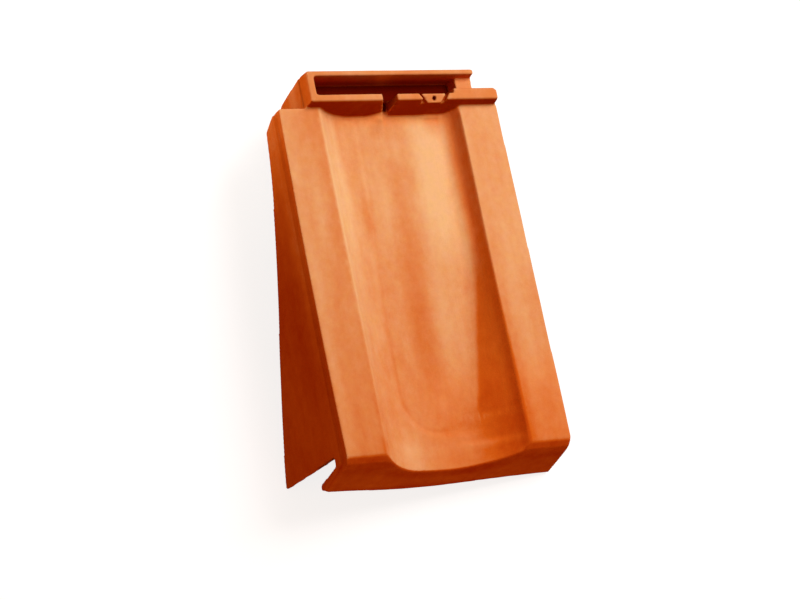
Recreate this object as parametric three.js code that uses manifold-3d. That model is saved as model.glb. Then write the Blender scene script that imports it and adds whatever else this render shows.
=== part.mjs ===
// A fired clay verge tile: the left-hand edge tile of a trough-shaped interlocking roof.
// Millimetres. The tile is shaped in its own frame, X across from the verge to the neighbouring
// tile, Y up the roof slope and Z out of the weathered face, with the face at Z = 0, and is then
// turned to lie as it would on a level floor.
import * as THREE from "three";
import { ConvexHull } from "three/addons/math/ConvexHull.js";
import { mergeVertices } from "three/addons/utils/BufferGeometryUtils.js";
import Module from "manifold-3d";

const wasm = await Module();
wasm.setup();

// ---- Driving dimensions ----

// Weathered face
const FACE_WIDTH = 259; // verge edge to the outer side of the cover rib
const FACE_LENGTH = 364; // nose line to the foot of the head ribs
const WALL = 11; // thickness of the moulded plate
const BAND_WIDTH = 46; // flat band along the verge
const COVER_WIDTH = 46.5; // flat top of the cover rib

// Trough between the band and the cover rib
const TROUGH_DEPTH_HEAD = 21;
const TROUGH_DEPTH_NOSE = 32;
const FLOOR_HOLLOW = 13; // depth of the floor's curve at the nose; at the head it is flat
const TROUGH_SLOPE_LEFT = 1.05; // rise over run of the wall below the band
const TROUGH_SLOPE_HEAD = 1.4; // the same below the cover rib, towards the head
const TROUGH_SLOPE_NOSE = 0.5; // and at the nose, where that wall lies flatter
const SLOPE_CHANGE_START = 50; // that wall flattens between these two lines
const SLOPE_CHANGE_END = 280;
const LIP_DROP = 8; // that wall starts steeper, right below the cover rib
const LIP_RUN = 6;
const LEFT_BLEND = 20; // softness of the fold at the foot of each wall
const RIGHT_BLEND_HEAD = 7;
const RIGHT_BLEND_NOSE = 16;
const RIM_BLEND = 2; // softness of the edge of the flat bands
const DISH_RADIUS = 44; // rounded end of the sunk floor
const DISH_CENTRE_Y = 68;
const DISH_RIM = 1.8; // how far the floor rises round that end
const DISH_RIM_WIDTH = 9;
const SPUR_HEIGHT = 9; // low spur beside the drain notch
const SPUR_SPREAD = 10; // its fall on the side away from the notch
const SPUR_LENGTH = 12; // and down the trough
const SPUR_STEEP = 4; // its fall into the notch

// Nose: the apron that covers the ribs of the tile below
const NOSE_ROLL = 7.5; // the front face first rolls forward this far
const NOSE_ROLL_DROP = 4; // and is down by this when it has rolled most of the way
const NOSE_LEAN = 0.29; // forward run of the front face for each unit of drop
const NOSE_DROP = 56.5; // depth of the apron at both sides
const NOSE_BOW = 7.8; // extra depth under the trough
const NOSE_BOW_SKEW = 0.8; // below 1, its deepest point is nearer to the verge
const NOSE_RADIUS = 3.5; // rounding between the weathered face and the front face
const APRON_WALL = 8.5;
const APRON_EDGE_RADIUS = 2;
const APRON_HEEL_RADIUS = 4;
const INNER_FILLET = 6;

// Side flap that covers the verge
const FLAP_WALL = 8;
const FLAP_PROUD = 3; // flap outside the edge of the plate
const FLAP_SHOULDER = 4; // height over which it rounds out to that
const FLAP_END_ROUND = 1.5; // the same round the end of the apron
const FLAP_FOOT_SHARE = 0.15; // where the seam meets the foot of the apron, in its thickness
const FLAP_FLARE = 0.035; // outward run for each unit of drop
const FLAP_TAPER = 0.038; // loss of thickness for each unit of drop
const SEAM_DEPTH = 10; // line along which the flap leaves the plate edge
const FLAP_TURN_RADIUS = 6; // of the seam, where it turns down the apron
const GAP_TOP = 23; // top of the gap between the apron and the nose end of the flap
const GAP_BACK_Y = 4.2;
const FLAP_TIP_Y = -1.5;
const FLAP_DEPTH_NOSE = 126.5;
const FLAP_DEPTH_HEAD = 31.2;
const FLAP_SLOPE_NOSE = 0.22; // slopes of the lower edge at its two ends
const FLAP_SLOPE_HEAD = 0.12;
const FLAP_HEAD_RADIUS = 2;
const FLAP_HEAD_INSET = 1.3; // its head end starts this far from the end of the plate, at the seam
const FLAP_HEAD_SLANT = 0.63; // and draws in towards the nose by this, for each unit of drop
const FLAP_TIP_RADIUS = 1.5;
const FLAP_TOE_RADIUS = 2.5;
const END_SLANT = 0.31; // the head ends draw in towards the nose, for each unit of drop
const WEB_WALL = 12; // step between the flap and its recessed end
const WEB_DEPTH = 24;
const RECESSED_FLAP_DEPTH = 52;
const RECESSED_FLAP_SEAM = 4.5;

// Head: two ribs with a channel between them
const HEAD_LENGTH = 35.2; // foot of the lower rib to the back of the upper rib
const RIB_HEIGHT = 14;
const RIB_DRAFT = 0.14;
const LOWER_RIB_WIDTH = 7;
const UPPER_RIB_WIDTH = 5.3;
const SIDE_RIB_WIDTH = 7.5;
const RECESS = 31; // the head is narrower by this on the verge side
const CHANNEL_DEPTH = 14; // channel floor below the face
const HEAD_FLOOR = 12; // thickness under the channel
const HEAD_DRAFT = 1.6;
const CORNER_CUT_WIDTH = 27; // notch for the neighbouring tile, at the far corner
const CORNER_CUT_LENGTH = 19.8;
const CORNER_CUT_RADIUS = 4;
const RIB_END_DRAFT = 0.23; // the far ends of both ribs lean back by this, for each unit of rise
const RIB_END_STEP = 6; // the lower rib's far end steps back by this
const RIB_END_STEP_WIDTH = 3; // over this much of its width
const RECESSED_FLAP_CHAMFER = 5.5;
const HEAD_RIGHT_INSET = 2; // lower rib stops short of the cover rib's side
const CHANNEL_END = 46; // channel stops this far from the cover rib's side
const PAD_DROP = 12; // flat pad beyond the channel, below the rib tops
const PAD_WIDE_RIB = 12; // width of the lower rib beside the pad
const PAD_START = 57;

// Drain notch and nail seat in the lower rib
const NOTCH_X = 114;
const NOTCH_WIDTH = 18;
const NOTCH_FOOT_X = 130;
const NOTCH_FOOT_WIDTH = 6;
const NAIL_X = 177.3;
const NAIL_SEAT_BACK = 30.5;
const NAIL_SEAT_FRONT = 16;
const NAIL_SEAT_REACH = 2.5; // seat ahead of the rib
const NAIL_SEAT_DROP = 1; // seat below the rib's top, at its back
const NAIL_SLOT = 3.5;
const NAIL_SLOT_DEPTH = 9;
const NAIL_FALL = 0.3; // slope of the seat towards the front
const NAIL_HOLE_RADIUS = 2.4;
const NAIL_HOLE_DEPTH = 7;

// Underside
const COVER_WALL = 10; // outer wall of the cover rib
const COVER_FLARE = 4; // the cover rib is wider by this at the nose
const COVER_DROP = 30;
const LOCK_RIB_WALL = 5; // hanging rib inside the cover rib
const LOCK_RIB_DROP = 22;
const LOCK_RIB_GAP = 12;
const NIB_WIDTH = 28;
const NIB_THICKNESS = 13;
const NIB_DROP = 56;
const NIB_INSET = 72; // outer side of each nib from the tile's edges
const NIB_DRAFT = 2;

// What a cut runs past the surface it opens
const CLEAR = 1;

// Fineness of the curved surfaces
const COLUMN_STEP = 5.2;
const TOP_ROWS = 20;
const UNDER_ROWS = 11;
const ARC_STEPS = 5;
const FRONT_STEPS = 6;
const FLAP_EDGE_STEPS = 16;

// ---- Derived places ----

const TROUGH_LEFT = BAND_WIDTH;
const TROUGH_RIGHT = FACE_WIDTH - COVER_WIDTH;
const TROUGH_CENTRE = (TROUGH_LEFT + TROUGH_RIGHT) / 2;
const TROUGH_HALF = TROUGH_RIGHT - TROUGH_CENTRE;
const HEAD_BACK = FACE_LENGTH + HEAD_LENGTH;
const HEAD_RIGHT = FACE_WIDTH - HEAD_RIGHT_INSET;
const CUT_LEFT = FACE_WIDTH - CORNER_CUT_WIDTH;
const RIB_FRONT = FACE_LENGTH + RIB_DRAFT * RIB_HEIGHT;
const CHANNEL_FRONT = RIB_FRONT + LOWER_RIB_WIDTH;
const CHANNEL_BACK = HEAD_BACK - UPPER_RIB_WIDTH;
const SPUR_X = NOTCH_FOOT_X - SPUR_STEEP;
const HEAD_UNDERSIDE = -(TROUGH_DEPTH_HEAD + WALL);

// ---- Shaping functions ----

const lerp = THREE.MathUtils.lerp;
const smooth = THREE.MathUtils.smoothstep;

function smoothMin(a, b, softness) {
  const overlap = Math.max(softness - Math.abs(a - b), 0) / softness;
  return Math.min(a, b) - (overlap * overlap * softness) / 4;
}

function smoothMax(a, b, softness) {
  return -smoothMin(-a, -b, softness);
}

// Depth of the trough below the face at (x, y). An inset above zero gives the parallel surface
// that far below the weathered one.
function troughDepth(x, y, inset = 0) {
  const along = THREE.MathUtils.clamp(y / FACE_LENGTH, 0, 1);
  const flattening = smooth(y, SLOPE_CHANGE_START, SLOPE_CHANGE_END);
  const slopeRight = lerp(TROUGH_SLOPE_NOSE, TROUGH_SLOPE_HEAD, flattening);
  const blendRight = lerp(RIGHT_BLEND_NOSE, RIGHT_BLEND_HEAD, flattening);
  const fromDishEnd = Math.hypot(x - TROUGH_CENTRE, Math.min(y - DISH_CENTRE_Y, 0));
  const rim = DISH_RIM * smooth(fromDishEnd, DISH_RADIUS, DISH_RADIUS + DISH_RIM_WIDTH);
  const hollow = FLOOR_HOLLOW * (1 - along) * ((x - TROUGH_CENTRE) / TROUGH_HALF) ** 2;
  const deepest = lerp(TROUGH_DEPTH_NOSE + DISH_RIM, TROUGH_DEPTH_HEAD, along);
  const floor = deepest - hollow - rim + inset;
  const left = TROUGH_SLOPE_LEFT * (x - TROUGH_LEFT) + inset * Math.hypot(1, TROUGH_SLOPE_LEFT);
  const fromRib = TROUGH_RIGHT - x;
  const lip = LIP_DROP * (1 - Math.exp(-fromRib / LIP_RUN));
  const lean = Math.hypot(1, slopeRight + LIP_DROP / LIP_RUN / 2);
  const right = slopeRight * fromRib + lip + inset * lean;
  const walled = smoothMin(smoothMin(floor, left, LEFT_BLEND), right, blendRight);
  return smoothMax(walled, inset, RIM_BLEND);
}

// A soft spur rises from the floor against the lower rib, beside the drain notch.
function spur(x, y) {
  const across = (x - SPUR_X) / (x < SPUR_X ? SPUR_SPREAD : SPUR_STEEP);
  const along = (y - FACE_LENGTH) / SPUR_LENGTH;
  return SPUR_HEIGHT * Math.exp(-across * across - along * along);
}

const faceZ = (x, y) => -troughDepth(x, y) + spur(x, y);
const underZ = (x, y) => -troughDepth(x, y, WALL);
const frontY = (z) => NOSE_ROLL * (Math.exp(z / NOSE_ROLL_DROP) - 1) + NOSE_LEAN * z;
const headEndY = (y, z) => y + END_SLANT * Math.min(z, 0);
const flapEndY = (z) => FACE_LENGTH - FLAP_HEAD_INSET + FLAP_HEAD_SLANT * (z + SEAM_DEPTH);
const apronBottom = (x) => {
  const across = THREE.MathUtils.clamp(x / FACE_WIDTH, 0, 1) ** NOSE_BOW_SKEW;
  return -NOSE_DROP - NOSE_BOW * Math.sin(Math.PI * across) ** 2;
};

// From the front to the back of the apron, square to it
const apronThrough = new THREE.Vector2(1, -NOSE_LEAN).normalize().multiplyScalar(APRON_WALL);
// A point (y, z) of the apron at the height z, from 0 on its front to 1 on its back
const apronAt = (z, share) =>
  new THREE.Vector2(frontY(z) + share * APRON_WALL * Math.hypot(1, NOSE_LEAN), z);

// Points of a fillet of the given radius at the corner between two lines, from a towards b.
function fillet(a, corner, b, radius, steps = ARC_STEPS) {
  const toA = a.clone().sub(corner).normalize();
  const toB = b.clone().sub(corner).normalize();
  const half = Math.acos(THREE.MathUtils.clamp(toA.dot(toB), -1, 1)) / 2;
  const reach = radius / Math.tan(half);
  const centre = toA.clone().add(toB).normalize().multiplyScalar(radius / Math.sin(half)).add(corner);
  const start = toA.multiplyScalar(reach).add(corner).sub(centre);
  const end = toB.multiplyScalar(reach).add(corner).sub(centre);
  const sweep = Math.atan2(start.cross(end), start.dot(end));
  return Array.from({ length: steps + 1 }, (_, i) =>
    start.clone().rotateAround(new THREE.Vector2(), (sweep * i) / steps).add(centre),
  );
}

// The closed outline (y, z) of the plate and its apron on the plane at x.
function sideProfile(x) {
  const nose = apronAt(faceZ(x, 0), 0);
  const toe = apronAt(apronBottom(x), 0);
  const heel = toe.clone().add(apronThrough);
  const inner = apronAt(underZ(x, 0), 1);

  const below = apronAt(nose.y - 1, 0);
  const fold = fillet(new THREE.Vector2(FACE_LENGTH, nose.y), nose, below, NOSE_RADIUS);
  const drop = Array.from({ length: FRONT_STEPS - 1 }, (_, i) =>
    apronAt(lerp(fold.at(-1).y, toe.y, ((i + 1) / FRONT_STEPS) ** 2), 0),
  );
  const front = [...fold, ...drop];
  const edge = fillet(drop.at(-1), toe, heel, APRON_EDGE_RADIUS, 2);
  const back = fillet(toe, heel, inner, APRON_HEEL_RADIUS, 3);
  const throat = fillet(heel, inner, new THREE.Vector2(FACE_LENGTH, inner.y), INNER_FILLET, 3);

  const top = Array.from({ length: TOP_ROWS }, (_, i) => {
    const y = lerp(front[0].x, FACE_LENGTH, smooth(1 - i / TOP_ROWS, 0, 1));
    return new THREE.Vector2(y, faceZ(x, y));
  });
  const under = Array.from({ length: UNDER_ROWS }, (_, i) => {
    const y = lerp(throat.at(-1).x, FACE_LENGTH, smooth((i + 1) / UNDER_ROWS, 0, 1));
    return new THREE.Vector2(y, underZ(x, y));
  });
  return [...top, ...front, ...edge, ...back, ...throat, ...under];
}

// ---- Solids ----

// A closed geometry as a manifold-3d solid.
function solid(geometry) {
  geometry.deleteAttribute("normal");
  geometry.deleteAttribute("uv");
  const merged = mergeVertices(geometry, 1e-4);
  const made = new wasm.Manifold(
    new wasm.Mesh({
      numProp: 3,
      vertProperties: new Float32Array(merged.attributes.position.array),
      triVerts: new Uint32Array(merged.index.array),
    }),
  );
  return made;
}

function geometryOf(manifold) {
  const { vertProperties, triVerts } = manifold.getMesh();
  return new THREE.BufferGeometry()
    .setAttribute("position", new THREE.BufferAttribute(vertProperties, 3))
    .setIndex(new THREE.BufferAttribute(triVerts, 1));
}

// A solid that passes through outlines (y, z) of equal point counts, one at each x.
function loft(columns, outlineAt) {
  const outlines = columns.map(outlineAt);
  const count = outlines[0].length;
  const positions = outlines.flatMap((outline, i) =>
    outline.flatMap((p) => [columns[i], p.x, p.y]),
  );
  const index = [];
  for (let i = 0; i + 1 < columns.length; i++)
    for (let k = 0; k < count; k++) {
      const a = i * count + k;
      const b = i * count + ((k + 1) % count);
      index.push(a, b, a + count, b, b + count, a + count);
    }
  const capFaces = (outline) => THREE.ShapeUtils.triangulateShape(outline, []);
  const last = (columns.length - 1) * count;
  for (const [a, b, c] of capFaces(outlines[0])) index.push(a, c, b);
  for (const [a, b, c] of capFaces(outlines.at(-1))) index.push(last + a, last + b, last + c);
  return new THREE.BufferGeometry()
    .setAttribute("position", new THREE.Float32BufferAttribute(positions, 3))
    .setIndex(index);
}

// An outline given as (y, z) points, pushed along X from x0 to x1.
function alongX(points, x0, x1) {
  const shape = new THREE.Shape(points.map(([y, z]) => new THREE.Vector2(y, z)));
  const geometry = new THREE.ExtrudeGeometry(shape, { depth: x1 - x0, bevelEnabled: false });
  const axes = new THREE.Matrix4().makeBasis(
    new THREE.Vector3(0, 1, 0),
    new THREE.Vector3(0, 0, 1),
    new THREE.Vector3(1, 0, 0),
  );
  return geometry.applyMatrix4(axes).translate(x0, 0, 0);
}

// An outline given as (x, z) points, pushed along Y from y0 to y1.
function alongY(points, y0, y1) {
  const shape = new THREE.Shape(points.map(([x, z]) => new THREE.Vector2(x, z)));
  const geometry = new THREE.ExtrudeGeometry(shape, { depth: y1 - y0, bevelEnabled: false });
  return geometry.rotateX(Math.PI / 2).translate(0, y1, 0);
}

// A box whose sides draw in towards its low end by the draft.
function draftedBox([x0, x1], [y0, y1], [z0, z1], draft) {
  const geometry = new THREE.BoxGeometry(x1 - x0, y1 - y0, z1 - z0);
  const position = geometry.attributes.position;
  for (let i = 0; i < position.count; i++)
    if (position.getZ(i) < 0) {
      position.setX(i, position.getX(i) - Math.sign(position.getX(i)) * draft);
      position.setY(i, position.getY(i) - Math.sign(position.getY(i)) * draft);
    }
  return geometry.translate((x0 + x1) / 2, (y0 + y1) / 2, (z0 + z1) / 2);
}

// Leans a flap outwards, to -X, below the seam, and thins it from the inside, which is at innerX.
function flare(geometry, innerX) {
  const position = geometry.attributes.position;
  for (let i = 0; i < position.count; i++) {
    const rate = FLAP_FLARE + (position.getX(i) < innerX ? 0 : FLAP_TAPER);
    position.setX(i, position.getX(i) + rate * Math.min(position.getZ(i) + SEAM_DEPTH, 0));
  }
  return geometry;
}

// ---- The tile's parts ----

function plateAndApron() {
  const pieces = Math.round(FACE_WIDTH / COLUMN_STEP);
  const even = Array.from({ length: pieces + 1 }, (_, i) => (FACE_WIDTH * i) / pieces);
  const round = [-1.5, -1, -0.5, 0].map((share) => SPUR_X + share * SPUR_SPREAD);
  const wanted = [TROUGH_LEFT, TROUGH_RIGHT, ...round, SPUR_X + SPUR_STEEP, SPUR_X + 2 * SPUR_STEEP];
  const clear = even.filter((x) => wanted.every((w) => Math.abs(x - w) > COLUMN_STEP / 3));
  return solid(loft([...clear, ...wanted].sort((a, b) => a - b), sideProfile));
}

// The closed outline (y, z) of the flap, from 0 at the seam to 1 where it is fully rounded out.
function flapOutline(rounding) {
  const at = (y, z) => new THREE.Vector2(y, z);
  const drop = FLAP_SHOULDER * rounding;
  const seamTurn = apronAt(-SEAM_DEPTH - drop, 0.5).add(at(FLAP_END_ROUND * rounding, 0));
  const foot = apronAt(-NOSE_DROP, 0).addScaledVector(apronThrough, FLAP_FOOT_SHARE);
  const heel = apronAt(-NOSE_DROP, 0).add(apronThrough);
  const gap = apronAt(-GAP_TOP, 1);
  const gapBack = at(GAP_BACK_Y, -GAP_TOP);
  const tip = at(FLAP_TIP_Y, -FLAP_DEPTH_NOSE);
  const headTop = at(flapEndY(-SEAM_DEPTH - drop), -SEAM_DEPTH - drop);
  const headCorner = at(flapEndY(-FLAP_DEPTH_HEAD), -FLAP_DEPTH_HEAD);
  const towardsNose = at(-1, -FLAP_SLOPE_HEAD).add(headCorner);
  const headRound = fillet(towardsNose, headCorner, headTop, FLAP_HEAD_RADIUS);
  const reach = (headRound[0].x - tip.x) / 3;
  const lowerEdge = new THREE.CubicBezierCurve(
    tip,
    at(tip.x + reach, tip.y + reach * FLAP_SLOPE_NOSE),
    at(headRound[0].x - reach, headRound[0].y - reach * FLAP_SLOPE_HEAD),
    headRound[0],
  ).getPoints(FLAP_EDGE_STEPS);
  return [
    headTop,
    ...fillet(headTop, seamTurn, foot, FLAP_TURN_RADIUS),
    ...fillet(seamTurn, foot, heel, FLAP_TOE_RADIUS, 3),
    ...fillet(foot, heel, gap, APRON_HEEL_RADIUS, 3),
    gap,
    gapBack,
    ...fillet(gapBack, tip, lowerEdge[1], FLAP_TIP_RADIUS, 3),
    ...lowerEdge.slice(1),
    ...headRound.slice(1),
  ];
}

// The flap rounds out from the edge of the plate and follows it round the end of the apron.
function sideFlap() {
  const shoulder = [0, 0.3, 0.6, 0.85, 0.97, 1];
  const inside = FLAP_WALL - FLAP_PROUD;
  const columns = [...shoulder.map((share) => -FLAP_PROUD * share), inside];
  const roundingAt = (x) => 1 - Math.sqrt(1 - (Math.min(x, 0) / FLAP_PROUD) ** 2);
  const outlineAt = (x) => flapOutline(roundingAt(x));
  return solid(flare(loft(columns.sort((a, b) => a - b), outlineAt), inside));
}

// Towards the head the verge side steps in, and the flap goes on there.
function recessedFlap() {
  const webBack = FACE_LENGTH - WEB_WALL;
  const chamferTop = RECESSED_FLAP_CHAMFER - RECESSED_FLAP_DEPTH;
  const web = alongX(
    [
      [webBack, -WALL / 2],
      [headEndY(webBack, -WEB_DEPTH), -WEB_DEPTH],
      [flapEndY(-WEB_DEPTH), -WEB_DEPTH],
      [flapEndY(-SEAM_DEPTH), -SEAM_DEPTH],
      [FACE_LENGTH, -WALL / 2],
    ],
    CLEAR,
    RECESS + FLAP_WALL,
  );
  const flap = alongX(
    [
      [webBack, -RECESSED_FLAP_SEAM],
      [headEndY(HEAD_BACK, -RECESSED_FLAP_SEAM), -RECESSED_FLAP_SEAM],
      [headEndY(HEAD_BACK, chamferTop), chamferTop],
      [headEndY(HEAD_BACK, -RECESSED_FLAP_DEPTH) - RECESSED_FLAP_CHAMFER / 2, -RECESSED_FLAP_DEPTH],
      [FACE_LENGTH, -RECESSED_FLAP_DEPTH],
      [webBack, -FLAP_DEPTH_HEAD],
    ],
    RECESS - 1,
    RECESS - 1 + FLAP_WALL,
  );
  return solid(web).add(solid(flare(flap, RECESS - 1 + FLAP_WALL)));
}

function headRibs() {
  const foot = RIB_FRONT - RIB_DRAFT * (RIB_HEIGHT - HEAD_UNDERSIDE);
  const floorUnder = -(CHANNEL_DEPTH + HEAD_FLOOR);
  const above = RIB_HEIGHT + CLEAR;
  const block = alongX(
    [
      [RIB_FRONT, RIB_HEIGHT],
      [HEAD_BACK, RIB_HEIGHT],
      [HEAD_BACK, 0],
      [headEndY(HEAD_BACK, floorUnder), floorUnder],
      [CHANNEL_FRONT + WALL + floorUnder - HEAD_UNDERSIDE, floorUnder],
      [CHANNEL_FRONT, HEAD_UNDERSIDE],
      [foot, HEAD_UNDERSIDE],
    ],
    RECESS,
    HEAD_RIGHT,
  );
  const channelEnd = FACE_WIDTH - CHANNEL_END;
  const padFront = RIB_FRONT + PAD_WIDE_RIB;
  const padTop = RIB_HEIGHT - PAD_DROP;
  const channel = draftedBox(
    [RECESS + SIDE_RIB_WIDTH, FACE_WIDTH - PAD_START],
    [CHANNEL_FRONT, CHANNEL_BACK],
    [-CHANNEL_DEPTH, above],
    HEAD_DRAFT,
  );
  const channelFar = draftedBox(
    [FACE_WIDTH - PAD_START - 3 * HEAD_DRAFT, channelEnd],
    [padFront, CHANNEL_BACK],
    [-CHANNEL_DEPTH, above],
    HEAD_DRAFT,
  );
  const pad = draftedBox(
    [channelEnd - 3 * HEAD_DRAFT, FACE_WIDTH],
    [padFront, CHANNEL_BACK],
    [padTop, above],
    HEAD_DRAFT / 2,
  );
  const notchFoot = CLEAR - TROUGH_DEPTH_HEAD;
  const notch = alongY(
    [
      [NOTCH_X, above],
      [NOTCH_FOOT_X, notchFoot],
      [NOTCH_FOOT_X + NOTCH_FOOT_WIDTH, notchFoot],
      [NOTCH_X + NOTCH_WIDTH, above],
    ],
    foot - CLEAR,
    CHANNEL_FRONT + HEAD_DRAFT,
  );
  const upperRibEnd = leanBack(CUT_LEFT, padTop, CHANNEL_BACK - HEAD_DRAFT, HEAD_BACK + CLEAR);
  const lowerRibEnd = leanBack(HEAD_RIGHT, 0, foot - CLEAR, HEAD_BACK);
  return [cornerCut(), channel, channelFar, pad, notch, upperRibEnd, lowerRibEnd]
    .map(solid)
    .reduce((ribs, cut) => ribs.subtract(cut), solid(block))
    .subtract(nailPocket())
    .add(nailSeat())
    .subtract(nailHole());
}

// What is cut off the far end of a rib, which stands at x on the height z and leans back from there.
function leanBack(x, z, y0, y1) {
  const top = RIB_HEIGHT + CLEAR;
  return alongY(
    [
      [x, z],
      [FACE_WIDTH, z],
      [FACE_WIDTH, top],
      [x - RIB_END_DRAFT * (top - z), top],
    ],
    y0,
    y1,
  );
}

// What is left out at the far corner, with a step at the end of the lower rib.
function cornerCut() {
  const front = HEAD_BACK - CORNER_CUT_LENGTH;
  const step = HEAD_RIGHT - RIB_END_STEP;
  const at = (x, y) => new THREE.Vector2(x, y);
  const inner = fillet(at(CUT_LEFT, HEAD_BACK), at(CUT_LEFT, front), at(step, front), CORNER_CUT_RADIUS, 4);
  const shape = new THREE.Shape([
    at(CUT_LEFT, HEAD_BACK + CLEAR),
    ...inner,
    at(step, front),
    at(step, front - RIB_END_STEP_WIDTH),
    at(FACE_WIDTH, front - RIB_END_STEP_WIDTH),
    at(FACE_WIDTH, HEAD_BACK + CLEAR),
  ]);
  const depth = RIB_HEIGHT - HEAD_UNDERSIDE + 2 * CLEAR;
  const geometry = new THREE.ExtrudeGeometry(shape, { depth, bevelEnabled: false });
  return geometry.translate(0, 0, HEAD_UNDERSIDE - CLEAR);
}

// A prism over the nail seat's outline, narrower at the front, spread sideways by the given amount.
function overNailSeat(spread, clear, z0, z1) {
  const front = RIB_FRONT - NAIL_SEAT_REACH - clear;
  const back = CHANNEL_FRONT + clear;
  const corners = [
    [-NAIL_SEAT_BACK / 2 - spread, back],
    [-NAIL_SEAT_FRONT / 2 - spread, front],
    [NAIL_SEAT_FRONT / 2 + spread, front],
    [NAIL_SEAT_BACK / 2 + spread, back],
  ];
  const shape = new THREE.Shape(corners.map(([x, y]) => new THREE.Vector2(NAIL_X + x, y)));
  const geometry = new THREE.ExtrudeGeometry(shape, { depth: z1 - z0, bevelEnabled: false });
  return geometry.translate(0, 0, z0);
}

const nailPocket = () =>
  solid(overNailSeat(NAIL_SLOT, CLEAR, RIB_HEIGHT - NAIL_SLOT_DEPTH, RIB_HEIGHT + CLEAR));

// The nail seat is a small wedge-shaped block in the lower rib, with a slot at each side.
function nailSeat() {
  const geometry = overNailSeat(0, 0, -TROUGH_DEPTH_HEAD / 2, RIB_HEIGHT - NAIL_SEAT_DROP);
  const position = geometry.attributes.position;
  for (let i = 0; i < position.count; i++)
    if (position.getZ(i) > 0)
      position.setZ(i, position.getZ(i) + NAIL_FALL * (position.getY(i) - CHANNEL_FRONT));
  return solid(geometry);
}

function nailHole() {
  const middle = (RIB_FRONT - NAIL_SEAT_REACH + CHANNEL_FRONT) / 2;
  return solid(
    new THREE.CylinderGeometry(NAIL_HOLE_RADIUS, NAIL_HOLE_RADIUS / 2, NAIL_HOLE_DEPTH, 16)
      .rotateX(Math.PI / 2)
      .translate(NAIL_X, middle, RIB_HEIGHT - NAIL_HOLE_DEPTH / 2),
  );
}

// The cover rib is hollow below, with an outer wall and a hanging rib that lock over the
// neighbouring tile.
function coverLock() {
  const right = FACE_WIDTH;
  const inner = right - COVER_WALL - LOCK_RIB_GAP;
  const front = frontY(-WALL) + 2 * CLEAR;
  const top = CLEAR - WALL;
  const outerWall = alongY(
    [
      [right - COVER_WALL, top],
      [right - COVER_WALL + 1, 1 - COVER_DROP],
      [right - COVER_WALL + 2, -COVER_DROP],
      [right - 2, -COVER_DROP],
      [right, 2 - COVER_DROP],
      [right, top],
    ],
    front,
    FACE_LENGTH,
  );
  const lockRib = alongY(
    [
      [inner - LOCK_RIB_WALL - 1, top],
      [inner - LOCK_RIB_WALL, -LOCK_RIB_DROP],
      [inner, -LOCK_RIB_DROP],
      [inner + 1, top],
    ],
    front,
    FACE_LENGTH,
  );
  return solid(outerWall).add(solid(lockRib));
}

// Two nibs hang from the underside near the head and hook over the roof batten.
function battenNibs() {
  const spans = [
    [NIB_INSET, NIB_INSET + NIB_WIDTH],
    [FACE_WIDTH - NIB_INSET - NIB_WIDTH, FACE_WIDTH - NIB_INSET],
  ];
  const nibs = spans.map((span) =>
    solid(
      draftedBox(
        span,
        [CHANNEL_FRONT - NIB_THICKNESS, CHANNEL_FRONT],
        [-NIB_DROP, HEAD_UNDERSIDE + WALL / 2],
        NIB_DRAFT,
      ),
    ),
  );
  return nibs[0].add(nibs[1]);
}

// ---- Lying on a level floor ----

function centreOfMass(geometry) {
  const { position } = geometry.attributes;
  const { index } = geometry;
  const centre = new THREE.Vector3();
  const [a, b, c] = [new THREE.Vector3(), new THREE.Vector3(), new THREE.Vector3()];
  let volume = 0;
  for (let i = 0; i < index.count; i += 3) {
    a.fromBufferAttribute(position, index.getX(i));
    b.fromBufferAttribute(position, index.getX(i + 1));
    c.fromBufferAttribute(position, index.getX(i + 2));
    const share = a.dot(b.clone().cross(c));
    volume += share;
    centre.addScaledVector(a.add(b).add(c), share / 4);
  }
  return centre.divideScalar(volume);
}

// The turn that lays the tile face up: of the flat faces of its convex hull that look down, the
// one nearest to the centre of mass is the one it settles on.
function restingTurn(geometry) {
  const { position } = geometry.attributes;
  const points = Array.from({ length: position.count }, (_, i) =>
    new THREE.Vector3().fromBufferAttribute(position, i),
  );
  const centre = centreOfMass(geometry);
  const faces = new ConvexHull().setFromPoints(points).faces;
  const depth = (face) => face.constant - face.normal.dot(centre);
  const down = faces.filter((face) => face.normal.z < -0.8);
  const lowest = down.reduce((best, face) => (depth(face) < depth(best) ? face : best));
  return new THREE.Quaternion().setFromUnitVectors(lowest.normal, new THREE.Vector3(0, 0, -1));
}

// Widens the cover rib towards the nose.
function flareCover(geometry) {
  const position = geometry.attributes.position;
  for (let i = 0; i < position.count; i++) {
    const across = Math.max(position.getX(i) - TROUGH_RIGHT, 0) / COVER_WIDTH;
    const fromHead = THREE.MathUtils.clamp(1 - position.getY(i) / FACE_LENGTH, 0, 1);
    position.setX(i, position.getX(i) + COVER_FLARE * across * fromHead);
  }
  return geometry;
}

const body = [sideFlap, recessedFlap, headRibs, coverLock, battenNibs].reduce(
  (tile, part) => tile.add(part()),
  plateAndApron(),
);

const terracotta = new THREE.MeshStandardMaterial({
  color: 0xd9783f,
  roughness: 0.72,
  metalness: 0,
});
const tile = new THREE.Mesh(flareCover(geometryOf(body)), terracotta);
tile.name = "verge_tile";
tile.quaternion.copy(restingTurn(tile.geometry));

// The origin is under the middle of the tile, on the floor.
const bounds = new THREE.Box3().setFromObject(tile, true);
const middle = bounds.getCenter(new THREE.Vector3());
tile.position.set(-middle.x, -middle.y, -bounds.min.z);

const vergeTile = new THREE.Group();
vergeTile.add(tile);

export default vergeTile;
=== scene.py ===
import bmesh
import bpy
import math
import numpy as np
from mathutils import Matrix, Vector


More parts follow.
